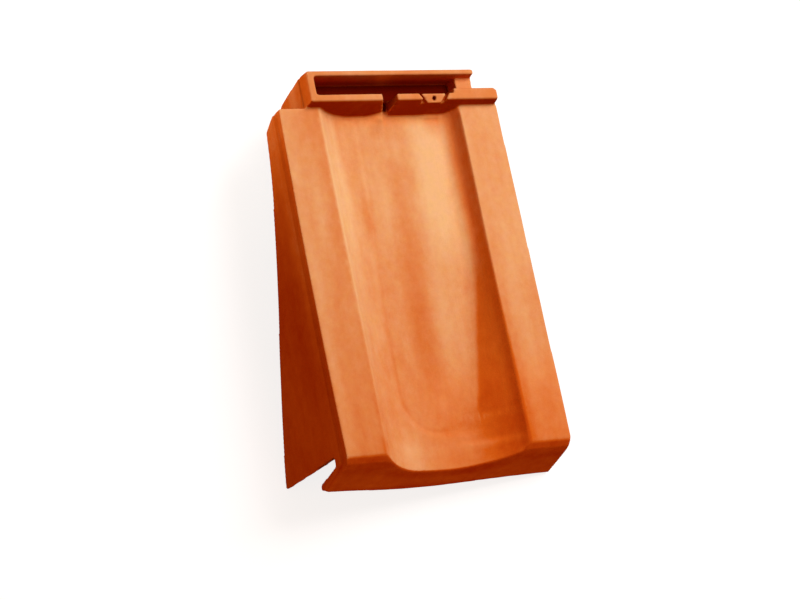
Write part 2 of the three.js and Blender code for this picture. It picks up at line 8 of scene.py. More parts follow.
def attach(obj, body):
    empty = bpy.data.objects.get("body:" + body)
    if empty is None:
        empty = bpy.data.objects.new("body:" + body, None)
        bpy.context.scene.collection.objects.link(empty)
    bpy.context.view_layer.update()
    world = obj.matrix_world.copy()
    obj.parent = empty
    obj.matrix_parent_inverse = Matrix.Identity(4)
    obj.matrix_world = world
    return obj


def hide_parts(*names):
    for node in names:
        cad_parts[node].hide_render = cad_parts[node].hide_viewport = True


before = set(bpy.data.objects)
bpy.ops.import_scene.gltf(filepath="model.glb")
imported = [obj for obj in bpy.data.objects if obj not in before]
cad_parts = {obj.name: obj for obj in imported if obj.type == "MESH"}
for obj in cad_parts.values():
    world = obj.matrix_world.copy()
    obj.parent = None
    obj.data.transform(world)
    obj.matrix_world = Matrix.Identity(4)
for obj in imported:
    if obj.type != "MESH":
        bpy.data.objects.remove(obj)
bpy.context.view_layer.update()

# ---- The tile's own frame, in millimetres ----
# X runs across from the verge, Y towards the head and Z out of the weathered face. The tile lies
# tilted on the floor, so this frame is turned and set down in the row's.
FACE_NORMAL = Vector((0.25114651, 0.05493269, 0.96638907))
NOSE_CORNER_MM = Vector((-108.02902, -184.68123, 120.95772))
TURN = Vector((0, 0, 1)).rotation_difference(FACE_NORMAL).to_matrix()
REST = Matrix.Translation(NOSE_CORNER_MM / 1000) @ TURN.to_4x4()

# The weathered face and its trough, as in the CAD.
FACE_WIDTH, FACE_LENGTH = 259.0, 364.0
BAND_WIDTH, COVER_WIDTH = 46.0, 46.5
TROUGH_DEPTH_HEAD, TROUGH_DEPTH_NOSE, FLOOR_HOLLOW = 21.0, 32.0, 13.0
SLOPE_LEFT, SLOPE_HEAD, SLOPE_NOSE = 1.05, 1.4, 0.5
SLOPE_CHANGE_START, SLOPE_CHANGE_END = 50.0, 280.0
LIP_DROP, LIP_RUN = 8.0, 6.0
LEFT_BLEND, RIGHT_BLEND_HEAD, RIGHT_BLEND_NOSE, RIM_BLEND = 20.0, 11.0, 6.0, 2.0
TROUGH_LEFT, TROUGH_RIGHT = BAND_WIDTH, FACE_WIDTH - COVER_WIDTH
TROUGH_CENTRE = (TROUGH_LEFT + TROUGH_RIGHT) / 2
TROUGH_HALF = TROUGH_RIGHT - TROUGH_CENTRE
# The shallow dish in the trough's floor. Its left edge leans away from the verge towards the head.
DISH_RADIUS, DISH_CENTRE_Y, DISH_RIM, DISH_RIM_WIDTH = 44.0, 68.0, 1.8, 9.0
DISH_SHIFT, DISH_DRIFT, DISH_DRIFT_START, DISH_DRIFT_END = 4.0, 10.0, 130.0, 300.0
# The small spur of clay below the drain notch, steeper on its right side.
SPUR_X, SPUR_HEIGHT, SPUR_SPREAD, SPUR_STEEP, SPUR_LENGTH = 126.0, 9.0, 10.0, 4.0, 12.0

# The nose's apron and the seam between the plate and the side flap.
NOSE_ROLL, NOSE_ROLL_DROP, NOSE_LEAN, NOSE_DROP, APRON_WALL = 7.5, 4.0, 0.29, 56.5, 8.5
SEAM_DEPTH, SEAM_TURN_RADIUS, FLAP_FOOT_SHARE, SEAM_HEAD_GAP = 11.5, 6.0, 0.15, 1.3
SEAM_GROOVE_WIDTH, SEAM_GROOVE_DEPTH = 1.4, 0.15
# The seam's line of painted shade, in metres: its place on the head's end, half the width of its
# dark core and of all of it, and the rounding of its turn at the nose.
HEAD_SEAM_SLOPE, HEAD_SEAM_START = -0.109, -0.0467
SEAM_LINE_CORE, SEAM_LINE_EDGE, SEAM_LINE_TURN = 0.0004, 0.0012, 0.004
# The face's verge edge bowed outward in the kiln: how far, where in Y its curve ends, how long
# and how full the curve is, and the stretches of Z and of X over which it fades.
VERGE_BOW, VERGE_BOW_END, VERGE_BOW_LENGTH, VERGE_BOW_POWER = 2.8, 372.0, 402.0, 0.7
VERGE_BOW_FADE_Z, VERGE_BOW_FADE_X = (-9.0, -1.5), (1.0, 12.0)

# The head: its ribs start just past the face, with the channel between them.
RIBS_START, CHANNEL_MIDDLE, CHANNEL_END = FACE_LENGTH + 1, 380.0, 396.0
NAIL_X, NAIL_Y, NAIL_SHADE = 177.3, 368.2, 2.9  # the blind nail hole, with painted shade inside

# ---- The clay's mesh ----
VOXEL_MM = 1.25
# Keeps flat faces off the borders between voxels, where their edges would come out ragged.
GRID_SHIFT = Vector((0.5, 0.8, -0.5))
CLAY_TRIANGLES = 180000
SNAP_REACH = 4.5  # a vertex nearer than this to the weathered face's formula moves onto it
# Unevenness of the pressed clay: cell size in millimetres, noise seed and height.
WAVES = (((34, 60, 34), 1, 0.16), ((9, 14, 9), 2, 0.05))
# Large odd numbers that turn a cell's place into a random-looking value, the same in each run.
HASH_AXES, HASH_SEED, HASH_MIX = np.array([73856093, 19349663, 83492791]), 2654435761, 1274126177

# ---- Tones of the clay, light and shade painted in: 1 is palest, 0 plain red clay, -0.5 darkest ----
SIDE_TONE, SIDE_TONE_HEAD = -0.3, 0.05  # painted shade on the verge side, lighter at the head
# Painted shade on the nose's front, which faces away from the key light; lighter on its lower half
# as painted bounce light.
FRONT_TONE, FRONT_TONE_LOW = -0.38, -0.21
# RIB_FRONT_TONE is painted shade on the front of the lower rib, which faces away from the key
# light.
RIB_FRONT_TONE, RIB_TOP_TONE, UNDER_TONE = -0.5, 0.4, 0.25
# The face is paler towards the head, partly in the clay's tone and partly as painted sheen and
# light.
FACE_TONE_NOSE, FACE_TONE_HEAD = 0.27, 0.55
HEAD_HALF = (91, 273)  # the stretch of Y over which tones on the face turn from the nose's to the head's
EDGE_GAIN = 3.2  # a curvature of 1 / 3.2 a millimetre or more counts as a full edge

# Paler and darker streaks along the face, of mottled clay and of painted light: the ones at X 181
# are a painted sheen and the thin one at X 47.5 a painted highlight on the trough's rim. Middle
# and half-width in X, the stretch of Y over which the strength changes, and the strength before
# and after it.
STREAKS = (
    (4, 9, *HEAD_HALF, 0.22, 0.05),
    (12, 14, 90, 130, 0.06, 0),
    (24, 12, 305, 340, 0, -0.11),
    (43, 3, 120, 150, -0.08, 0),
    (45, 6, 6, 22, -0.26, 0),
    (47.5, 2, *HEAD_HALF, 0, 0.04),
    (80, 9, 255, 285, 0.12, 0),
    (88, 18, 4, 34, 0.16, 0),
    (100, 26, *HEAD_HALF, 0.14, 0.056),
    (133, 13, 36.4, 109.2, 0, -0.2),
    (133, 13, 182, 273, 0, 0.2),
    (181, 18, 163.8, 273, 0, 0.46),
    (181, 18, 327.6, 364, 0, -0.25),
    (204, 4, 200, 250, 0, 0.08),
    (216, 9, 36.4, 127.4, -0.24, 0),
    (252, 12, 90, 160, 0, 0.04),
)
# Paler and darker patches of the clay: middle and half-width in X, the same in Y, and strength.
PATCHES = (
    (8, 6, 98, 22, -0.07),
    (8, 6, 235, 14, -0.07),
    (8, 7, 290, 14, 0.09),
    (15, 18, 0, 6, -0.09),
    (24, 9, 250, 45, 0.2),
    (31, 14, 352, 14, -0.06),
    (54, 8, 20, 26, -0.03),
    (57, 6, 135, 14, 0.07),
    (60, 6, 262, 14, -0.08),
    (66, 24, 358, 6, -0.05),
    (68, 15, 45, 12, -0.07),
    (74, 8, 128, 26, 0.2),
    (89, 6, 252, 20, -0.26),
    (92, 16, 5, 9, 0.1),
    (95, 9, 22, 8, -0.05),
    (100, 6, 290, 12, 0.07),
    (114, 11, 265, 45, 0.24),
    (117, 9, 2, 5, 0.08),
    (121, 5, 262, 16, 0.08),
    (122, 7, 120, 50, -0.08),
    (122, 8, 344, 7, -0.09),
    (131, 13, 328, 16, 0.13),
    (132, 6, 250, 30, -0.06),
    (134, 8, 160, 18, -0.08),
    (140, 9, 56, 16, 0.12),
    (142, 7, 322, 14, 0.12),
    (152, 7, 290, 12, -0.13),
    (156, 26, 6, 9, 0.11),
    (160, 15, 95, 40, 0.08),
    (177, 7, 110, 35, 0.12),
    (183, 9, 155, 22, 0.08),
    (183, 11, 175, 55, 0.17),
    (196, 9, 210, 25, 0.1),
    (197, 8, 325, 16, 0.09),
    (203, 6, 225, 40, 0.12),
    (216, 8, 190, 90, -0.08),
    (218, 5, 135, 18, -0.1),
    (241, 15, 50, 20, -0.08),
    (244, 12, 30, 20, -0.06),
)

# Colour along the tone, from the darkest clay to the palest.
TONE_MIN, TONE_RANGE = -0.5, 1.5
TONES = (
    (0.0, (0.42, 0.034, 0.0005, 1)),
    (0.333, (0.61, 0.115, 0.009, 1)),
    (0.613, (0.705, 0.24, 0.076, 1)),
    (1.0, (0.82, 0.47, 0.22, 1)),
)
# Tints that the colour is multiplied by.
OPEN = (1, 1, 1, 1)
WALL_SHADE = (1.0, 0.42, 0.07, 1)  # painted shade in hollows between walls
PIT_SHADE = (0.16, 0.02, 0.003, 1)  # painted shade in channel, notch and nail hole, and on the rib front
WARM = (1.2, 1.0, 0.75, 1)  # painted warm light in the shade at the ribs' foot; redder near the nose too
# Yellower to pinker, and darker to lighter clay, by noise.
HUES = ((1, 1.03, 0.78, 1), (1, 0.97, 1.24, 1))
FIRINGS = ((0.945, 0.945, 0.945, 1), (1.055, 1.055, 1.055, 1))
# Shelter from walls nearby, in metres, and the openness over which its shade fades out.
SHELTER_REACH, SHELTER_FADE = 0.04, (0.16, 0.5)
# At grazing angles, even a little gloss turns the dark sides grey against white surroundings.
ROUGHNESS, GLOSS, GLOSS_TINT = 0.52, 0.001, (1.0, 0.45, 0.1, 1)
GRAIN_STRENGTH, GRAIN_HEIGHT = 0.5, 0.0005  # of the bump, its height in metres


def smoothstep(v, a, b):
    t = np.clip((v - a) / (b - a), 0, 1)
    return t * t * (3 - 2 * t)


def window(v, start, full, fading, end):
    """1 from full to fading, and 0 before start and after end."""
    return smoothstep(v, start, full) * (1 - smoothstep(v, fading, end))


def smooth_min(a, b, softness):
    overlap = np.maximum(softness - np.abs(a - b), 0) / softness
    return np.minimum(a, b) - overlap * overlap * softness / 4


def blend(a, b, share):
    return a + (b - a) * share


def bell(v, centre, width):
    return np.exp(-(((v - centre) / width) ** 2))


# ---- Shapes of the tile ----


def dish_edge(x, y):
    """Distance from the middle of the shallow dish in the trough; its edge is at DISH_RADIUS."""
    drift = DISH_SHIFT + DISH_DRIFT * smoothstep(y, DISH_DRIFT_START, DISH_DRIFT_END)
    return np.hypot(np.minimum(x - TROUGH_CENTRE - drift, 0), np.minimum(y - DISH_CENTRE_Y, 0))


def trough_depth(x, y):
    """Depth of the trough below the bands of the weathered face."""
    along = np.clip(y / FACE_LENGTH, 0, 1)
    flattening = smoothstep(y, SLOPE_CHANGE_START, SLOPE_CHANGE_END)
    rim = DISH_RIM * smoothstep(dish_edge(x, y), DISH_RADIUS, DISH_RADIUS + DISH_RIM_WIDTH)
    hollow = FLOOR_HOLLOW * (1 - along) * ((x - TROUGH_CENTRE) / TROUGH_HALF) ** 2
    floor = blend(TROUGH_DEPTH_NOSE + DISH_RIM, TROUGH_DEPTH_HEAD, along) - hollow - rim
    left = SLOPE_LEFT * (x - TROUGH_LEFT)
    from_rib = TROUGH_RIGHT - x
    right = blend(SLOPE_NOSE, SLOPE_HEAD, flattening) * from_rib
    right += LIP_DROP * (1 - np.exp(-from_rib / LIP_RUN))
    right_blend = blend(RIGHT_BLEND_NOSE, RIGHT_BLEND_HEAD, flattening)
    walled = smooth_min(smooth_min(floor, left, LEFT_BLEND), right, right_blend)
    return -smooth_min(-walled, 0 * walled, RIM_BLEND)


def face_height(x, y):
    """Height of the weathered face in the tile's frame."""
    spread = np.where(x < SPUR_X, SPUR_SPREAD, SPUR_STEEP)
    across = (x - SPUR_X) / spread
    down = (y - FACE_LENGTH) / SPUR_LENGTH
    return -trough_depth(x, y) + SPUR_HEIGHT * np.exp(-across**2 - down**2)


def apron_front(z):
    """Y of the nose's front at the height z."""
    return NOSE_ROLL * (np.exp(np.minimum(z, 0) / NOSE_ROLL_DROP) - 1) + NOSE_LEAN * z


def seam_line():
    """Points (y, z) of the seam between the plate and the side flap, down to the apron's foot."""

    def on_apron(z, share):
        return np.array([apron_front(z) + share * APRON_WALL * math.hypot(1, NOSE_LEAN), z])

    start = np.array([FACE_LENGTH - SEAM_HEAD_GAP, -SEAM_DEPTH])
    turn = on_apron(-SEAM_DEPTH, 0.5)
    across = np.array([1, -NOSE_LEAN]) / math.hypot(1, NOSE_LEAN)
    foot = on_apron(-NOSE_DROP, 0) + across * APRON_WALL * FLAP_FOOT_SHARE
    to_start, to_foot = start - turn, foot - turn
    to_start, to_foot = to_start / np.linalg.norm(to_start), to_foot / np.linalg.norm(to_foot)
    half = math.acos(to_start @ to_foot) / 2
    reach = SEAM_TURN_RADIUS / math.tan(half)
    a, c = turn + to_start * reach, turn + to_foot * reach
    curve = [(1 - t) ** 2 * a + 2 * t * (1 - t) * turn + t**2 * c for t in np.linspace(0, 1, 7)]
    return np.array([start, *curve, foot])


def distance_to(points, line):
    """Distance from each point to a chain of straight pieces."""
    best = np.full(len(points), np.inf)
    for a, b in zip(line[:-1], line[1:]):
        along = b - a
        share = np.clip((points - a) @ along / (along @ along), 0, 1)
        best = np.minimum(best, np.linalg.norm(points - a - share[:, None] * along, axis=1))
    return best


# ---- Mesh work ----


def coordinates(mesh):
    co = np.empty(len(mesh.vertices) * 3, np.float64)
    mesh.vertices.foreach_get("co", co)
    return co.reshape(-1, 3)


def set_coordinates(mesh, co):
    mesh.vertices.foreach_set("co", np.ascontiguousarray(co, np.float64).ravel())
    mesh.update()


def normals(mesh):
    normal = np.empty(len(mesh.vertices) * 3, np.float32)
    mesh.vertices.foreach_get("normal", normal)
    return normal.reshape(-1, 3)


def evaluated(obj):
    """The object's mesh with its modifiers applied, as a new mesh."""
    bpy.context.view_layer.update()
    graph = bpy.context.evaluated_depsgraph_get()
    return bpy.data.meshes.new_from_object(obj.evaluated_get(graph), depsgraph=graph)


def with_modifiers(mesh, *steps):
    """Runs modifiers, each (type, {setting: value}), on a mesh and returns the result."""
    holder = bpy.data.objects.new("working", mesh)
    bpy.context.scene.collection.objects.link(holder)
    for kind, settings in steps:
        modifier = holder.modifiers.new(kind.lower(), kind)
        for key, value in settings.items():
            setattr(modifier, key, value)
    result = evaluated(holder)
    bpy.data.objects.remove(holder)
    return result


def drop_crumbs(mesh):
    """Deletes all but the largest connected part: the remesh can leave a tiny loose piece."""
    work = bmesh.new()
    work.from_mesh(mesh)
    unseen, parts = set(work.verts), []
    while unseen:
        part = {unseen.pop()}
        edge = set(part)
        while edge:
            edge = {e.other_vert(v) for v in edge for e in v.link_edges} & unseen
            unseen -= edge
            part |= edge
        parts.append(part)
    largest = max(parts, key=len)
    bmesh.ops.delete(work, geom=[v for v in work.verts if v not in largest], context="VERTS")
    work.to_mesh(mesh)
    work.free()


def value_noise(points, seed):
    """Smooth noise between -1 and 1 on a unit grid."""
    cell = np.floor(points).astype(np.int64)
    part = points - cell
    part = part * part * (3 - 2 * part)
    total = np.zeros(len(points))
    for corner in range(8):
        offset = np.array([corner & 1, corner >> 1 & 1, corner >> 2])
        key = (cell + offset) @ HASH_AXES + seed * HASH_SEED
        key = (key ^ (key >> 13)) * HASH_MIX & 0x7FFFFFFF
        weight = np.prod(np.where(offset, part, 1 - part), axis=1)
        total += weight * ((key ^ (key >> 16)) % 65536 / 32767.5 - 1)
    return total


def on_formula(co, normal):
    """How far each vertex moves in Z to lie on the face's formula, fading out at its edges."""
    x, y, z = co.T
    away = face_height(x, y) - z
    inside = window(x, 2, 5, FACE_WIDTH - 5, FACE_WIDTH - 2)
    inside *= window(y, 4, 12, FACE_LENGTH - 9, FACE_LENGTH - 5)
    return np.where((np.abs(away) < SNAP_REACH) & (normal[:, 2] > 0.2), inside, 0) * away


def verge_bow(co):
    """How far each vertex of the face's verge edge stands out."""
    x, y, z = co.T
    along = np.clip((VERGE_BOW_END - y) / VERGE_BOW_LENGTH, 0, 1)
    bowed = np.sin(math.pi * along) ** VERGE_BOW_POWER * VERGE_BOW
    bowed *= smoothstep(z, *VERGE_BOW_FADE_Z) * (1 - smoothstep(x, *VERGE_BOW_FADE_X))
    return np.where(y < FACE_LENGTH, bowed, 0)


def seam_groove(co, normal):
    """Depth of the seam's groove in the tile's verge side."""
    outer = (co[:, 0] > -3) & (co[:, 0] < 2.5) & (normal[:, 0] < -0.2)
    groove = bell(distance_to(co[:, 1:], seam_line()), 0, SEAM_GROOVE_WIDTH)
    return np.where(outer, groove, 0) * SEAM_GROOVE_DEPTH


def clay_body():
    """The tile as pressed and fired clay: its edges softened and its surfaces slightly uneven."""
    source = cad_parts["verge_tile"].data.copy()
    source.transform(REST.inverted())
    source.transform(Matrix.Translation(GRID_SHIFT) @ Matrix.Scale(1000, 4))
    fine = with_modifiers(
        source,
        ("REMESH", {"mode": "VOXEL", "voxel_size": VOXEL_MM, "use_smooth_shade": True}),
        ("SMOOTH", {"factor": 0.5, "iterations": 5}),
    )
    co = coordinates(fine) - np.array(GRID_SHIFT)
    normal = normals(fine)
    co[:, 2] += on_formula(co, normal)
    co[:, 0] -= verge_bow(co)
    co[:, 0] += seam_groove(co, normal)
    wave = sum(value_noise(co / cell, seed) * height for cell, seed, height in WAVES)
    co += normal * wave[:, None]
    set_coordinates(fine, co)
    count = sum(len(p.vertices) - 2 for p in fine.polygons)
    if count > CLAY_TRIANGLES:
        fine = with_modifiers(fine, ("DECIMATE", {"ratio": CLAY_TRIANGLES / count}))
    drop_crumbs(fine)
    fine.transform(REST @ Matrix.Scale(0.001, 4))
    fine.polygons.foreach_set("use_smooth", [True] * len(fine.polygons))
    fine.name = "clay_body"
    return fine


# ---- Where the clay is pale, worn or redder, and where light and shade are painted on it ----


def edge_bend(mesh):
    """How far each vertex stands out from its neighbours' tangent planes: above 0 on an edge."""
    co = coordinates(mesh) * 1000
    normal = normals(mesh)
    pair = np.empty(len(mesh.edges) * 2, np.int32)
    mesh.edges.foreach_get("vertices", pair)
    a, b = pair.reshape(-1, 2).T
    step = co[b] - co[a]
    length = np.maximum(np.einsum("ij,ij->i", step, step), 1e-6)
    bend = np.einsum("ij,ij->i", normal[b] - normal[a], step) / length
    count = np.maximum(np.bincount(a, minlength=len(co)) + np.bincount(b, minlength=len(co)), 1)

    def spread(at_a, at_b):
        return (np.bincount(a, at_a, len(co)) + np.bincount(b, at_b, len(co))) / count

    result = spread(bend, bend)
    for _ in range(3):  # softened along the edges of the mesh
        result = (result + spread(result[b], result[a])) / 2
    return result


def face_mottling_and_light(x, y):
    """Tone of the weathered face: mottled clay, with painted sheen and light."""
    pale = blend(FACE_TONE_NOSE, FACE_TONE_HEAD, smoothstep(y, 18.2, 291.2))
    for middle, width, start, end, before, after in STREAKS:
        pale += bell(x, middle, width) * blend(before, after, smoothstep(y, start, end))
    for middle, width, y_middle, y_width, strength in PATCHES:
        pale += bell(x, middle, width) * bell(y, y_middle, y_width) * strength

    # Painted light on the trough's left wall, which faces the key light.
    wall_foot = 78 - 5 * smoothstep(y, 290, 320)
    left_wall = window(x, 42.5, 45.8, 62, wall_foot)
    left_wall *= 1 - 0.32 * smoothstep(y, 305, 345)
    pale += left_wall * blend(0.25, 0.41, smoothstep(y, 70, 220))
    near_nose = 0.08 + 0.06 * bell(y, 25, 15)
    pale += window(x, 22, 31, 41, 45) * blend(near_nose, -0.09, smoothstep(y, 100, 250))
    # Painted sheen: the narrower end of the sheen band on the trough floor, towards the nose.
    middle_streak = bell(x, 163, 14) * smoothstep(y, 43.68, 145.6)
    pale += middle_streak * blend(0.27, 0.2, smoothstep(y, *HEAD_HALF))
    # The cover band is paler, with painted light along its middle and darker near the nose.
    cover_band = smoothstep(x, 208, 214)
    lit = bell(x, 236, 12) * window(y, 18.2, 72.8, 182, 254.8) * 0.14
    dull = bell(y, 15, 32) * 0.08 + bell(y, 0, 12) * 0.09
    return pale + cover_band * (0.1 + lit - dull)


def dish_line(x, y):
    """The dark line along the dish's edge, which rises towards the cover rib and fades there."""
    dish = dish_edge(x, y - 8 * smoothstep(x, 132, 168))
    line = bell(dish, DISH_RADIUS - 0.5, 2.2) * blend(0.11, 0.05, smoothstep(y, 60, 170))
    # A pale line just outside the dish's edge: a painted highlight on the step of its rim.
    line -= bell(dish, DISH_RADIUS + 3.5, 3) * bell(y, 292, 26) * 0.07
    line *= 1 - smoothstep(x, TROUGH_RIGHT - 62, TROUGH_RIGHT - 40)
    return line * (1 - 0.65 * bell(x, 108, 9) * (1 - smoothstep(y, 50, 60)))


def right_wall(x, y):
    """1 on the trough's right wall, from the fold at its foot up to the cover rib."""
    fold = smooth_min(167.2 + 0.19 * y, 204 + 0 * y, 10)
    softness = blend(3, 6, smoothstep(y, 150, 260))
    wall = smoothstep(x, fold - softness, fold + softness)
    wall = blend(smoothstep(x, 152, 202), wall, smoothstep(y, 34, 52))
    top = TROUGH_RIGHT + 3.4 * (1 - smoothstep(y, 40, 230))
    return wall * (1 - smoothstep(x, top - 2, top + 1))


def face_tone(x, y):
    """Tone of the weathered face, with its dish's dark line and painted shade in its trough."""
    pale = face_mottling_and_light(x, y)
    # Painted shade on the trough's right wall, which faces away from the key light.
    painted_wall_shade = blend(0.62, 0.4, smoothstep(y, *HEAD_HALF)) - bell(y, 100, 45) * 0.09
    tone = pale - dish_line(x, y) - right_wall(x, y) * painted_wall_shade * (0.55 + pale)
    # Painted shade at the foot of the ribs.
    rib_foot = window(x, 174, 186, 194, 200) * smoothstep(y, 331, 350) * 0.26
    rib_foot += bell(x, 56, 14) * smoothstep(y, 335, 360) * 0.13
    tone -= rib_foot * (x < TROUGH_RIGHT)
    brushed = bell(y, 35, 2.8) * 0.17 + bell(y, 7, 4.5) * 0.11 - bell(y, -1, 3) * 0.06
    tone += window(x, 152, 172, 206, 214) * brushed
    tone -= bell(x, 178, 8) * bell(y, 43, 4) * 0.07
    return np.where(y < RIBS_START, tone, RIB_TOP_TONE)


def verge_tone(y, z):
    """Painted shade on the verge side, lighter under the seam and over the middle of its length.
    """
    tone = blend(SIDE_TONE, SIDE_TONE_HEAD, smoothstep(y, 240, 350))
    upper = blend(0.1, 0.26, smoothstep(y, 90, 230)) * window(y, 2, 20, 250, 320)
    tone += smoothstep(z, -34, -14) * upper
    tone += bell(z, -21, 9) * blend(0.08, 0.17, smoothstep(y, 270, 330)) * smoothstep(y, 210, 250)
    tone += bell(z, -14, 7) * bell(y, 180, 50) * 0.09
    return tone - bell(z, 2, 5) * smoothstep(y, FACE_LENGTH, FACE_LENGTH + 6) * 0.1


def front_tone(x, z):
    """Painted shade on the nose's front, lighter on its lower half as painted bounce light."""
    top = trough_depth(x, 0 * x)
    share = (-z - top) / (NOSE_DROP - top)
    return blend(FRONT_TONE, FRONT_TONE_LOW, window(share, 0.3, 0.6, 0.9, 1))


def underneath(x, y, z, normal):
    """1 on the underside, the apron's back and the inside of the side flap."""
    under = smoothstep(-z - trough_depth(x, y), 5, 8) * smoothstep(y - apron_front(z), 3, 6)
    under *= window(x, 3, 6, FACE_WIDTH - 6, FACE_WIDTH - 3)
    under *= 1 - smoothstep(y, FACE_LENGTH - 4, FACE_LENGTH)
    return np.maximum(under, smoothstep(-normal[:, 2], 0.4, 0.8))


def pit(x, y, z):
    """1 on the floors of the head channel and its drain notch, which get painted shadow."""
    along = window(y, RIBS_START, RIBS_START + 2, CHANNEL_END, CHANNEL_END + 2)
    return along * (x < TROUGH_RIGHT) * (1 - smoothstep(z, 3, 8))


def darkness(x, y, z, normal, upward, under, rib_front):
    """How much painted shade darkens the channel, the notch, the nail hole and the front rib."""
    from_nail = np.hypot(x - NAIL_X, y - NAIL_Y)
    nail = (1 - smoothstep(from_nail, NAIL_SHADE - 0.9, NAIL_SHADE)) * (z > 0)
    dark = np.maximum(upward * pit(x, y, z), nail)
    back_wall = smoothstep(-normal[:, 1], 0.5, 0.8) * (y > CHANNEL_MIDDLE) * (x < TROUGH_RIGHT)
    notch_side = smoothstep(-normal[:, 0], 0.3, 0.7) * (y > RIBS_START) * (y < CHANNEL_MIDDLE)
    notch_side *= bell(x, SPUR_X + 12, 22) * (1 - smoothstep(z, 9, 13))
    walls = np.maximum(back_wall * (1 - smoothstep(z, -7, 3)), notch_side)
    dark = np.maximum(dark, 0.5 * walls * (1 - under))
    return np.maximum(dark, 0.3 * rib_front)


def warmth(x, y):
    """How much redder the face is: painted warm light at the ribs' foot; also near the nose and
    cover rib.
    """
    warm = smoothstep(y, 347, 357) * smoothstep(x, 52, 92) * (x < TROUGH_RIGHT)
    warm += blend(0.1, 0.3, smoothstep(x, 100, 140)) * (1 - smoothstep(y, 60, 110))
    warm += bell(x, 205, 4) * smoothstep(y, 190, 240)
    return np.minimum(warm, 1) * (y < RIBS_START)


def paint(mesh):
    """Stores, per vertex, its tone with painted light and shade, its wear, and masks for painted
    shade and warmth.
    """
    inverse = REST.inverted()
    turn = np.array(inverse.to_3x3())
    x, y, z = ((coordinates(mesh) @ turn.T + np.array(inverse.translation)) * 1000).T
    normal = normals(mesh) @ turn.T
    upward = smoothstep(normal[:, 2], 0.1, 0.7)
    in_trough = smoothstep(x, 2, 5) * smoothstep(z, -60, -42)
    facing = upward * np.maximum(smoothstep(z, -7, -4), in_trough) * (1 - pit(x, y, z))
    front = smoothstep(-normal[:, 1], 0.36, 0.66) * (1 - smoothstep(y, 10, 30))
    # The front of the lower rib faces away from the key light and gets painted shade.
    rib_front = smoothstep(-normal[:, 1], 0.3, 0.7) * smoothstep(y, 350, 358)
    rib_front *= y < CHANNEL_MIDDLE
    under = underneath(x, y, z, normal)
    side = blend(verge_tone(y, z), front_tone(x, z), front)
    side = blend(side, RIB_FRONT_TONE, rib_front)
    side = blend(side, UNDER_TONE, under)
    bend = edge_bend(mesh) * EDGE_GAIN
    convex, hollow = np.clip(bend, 0, 1), np.clip(-bend, 0, 1)
    values = {
        "pale": blend(side, face_tone(x, y), facing * (1 - front)),
        "worn": convex * smoothstep(normal[:, 2], -0.2, 0.5),
        # Painted shade in creases and under edges that face down.
        "painted_crease_shade": hollow + convex * smoothstep(-normal[:, 2], 0.05, 0.5),
        "pit": darkness(x, y, z, normal, upward, under, rib_front),
        "verge": smoothstep(-normal[:, 0], 0.3, 0.7) * (x < BAND_WIDTH),
        "recess": (1 - facing * (y < FACE_LENGTH)) * (1 - under),
        "warm": facing * warmth(x, y),
    }
    for name, value in values.items():
        layer = mesh.attributes.new(name, "FLOAT", "POINT")
        layer.data.foreach_set("value", value.astype(np.float32))


tile = bpy.data.objects.new("verge_tile_clay", clay_body())
bpy.context.scene.collection.objects.link(tile)
paint(tile.data)
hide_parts("verge_tile")
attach(tile, "root")

# ---- Fired clay ----

clay = bpy.data.materials.new("fired_clay")
clay.use_nodes = True
nodes, links = clay.node_tree.nodes, clay.node_tree.links
shader = nodes["Principled BSDF"]


def node(kind, inputs=(), **settings):
    """Adds a node; an input is a number, a colour or another node's output."""
    made = nodes.new("ShaderNode" + kind)
    for key, value in settings.items():
        setattr(made, key, value)
    for key, value in dict(inputs).items():
        if isinstance(value, bpy.types.NodeSocket):
            links.new(value, made.inputs[key])
        else:
            made.inputs[key].default_value = value
    return made


def math_node(operation, a, b, c=0.0):
    return node("Math", {0: a, 1: b, 2: c}, operation=operation).outputs[0]


def attribute(name):
    return node("Attribute", attribute_name=name).outputs["Fac"]


def fade(value, start, end, low, high):
    """Goes smoothly from low to high as the value goes from start to end."""
    inputs = {"Value": value, "From Min": start, "From Max": end, "To Min": low, "To Max": high}
    return node("MapRange", inputs, interpolation_type="SMOOTHSTEP").outputs[0]


def mixed(share, a, b, blend_type="MIX"):
    made = node("Mix", {0: share, 6: a, 7: b}, data_type="RGBA", blend_type=blend_type)
    return made.outputs[2]


def weighted(*pairs):
    total = None
    for value, weight in pairs:
        term = math_node("MULTIPLY", value, weight)
        total = term if total is None else math_node("ADD", total, term)
    return total


# The shader's own view of the tile's frame, in metres.
UNTURN = TURN.inverted()
place = node(
    "Mapping",
    {
        "Vector": node("TexCoord").outputs["Object"],
        "Rotation": UNTURN.to_euler(),
        "Location": -(UNTURN @ (NOSE_CORNER_MM / 1000)),
    },
).outputs[0]


def noise(scale, stretch=(1, 1, 1), detail=2.0, rough=0.5):
    """Noise over the tile's own axes, centred on 0; scale is in cells a metre."""
    vector = node("Mapping", {"Vector": place, "Scale": stretch}).outputs[0]
    inputs = {"Vector": vector, "Scale": scale, "Detail": detail, "Roughness": rough}
    return math_node("SUBTRACT", node("TexNoise", inputs).outputs["Fac"], 0.5)


def between(noise_output, a, b):
    """A colour between two, by noise centred on 0."""
    return mixed(math_node("ADD", noise_output, 0.5), a, b)


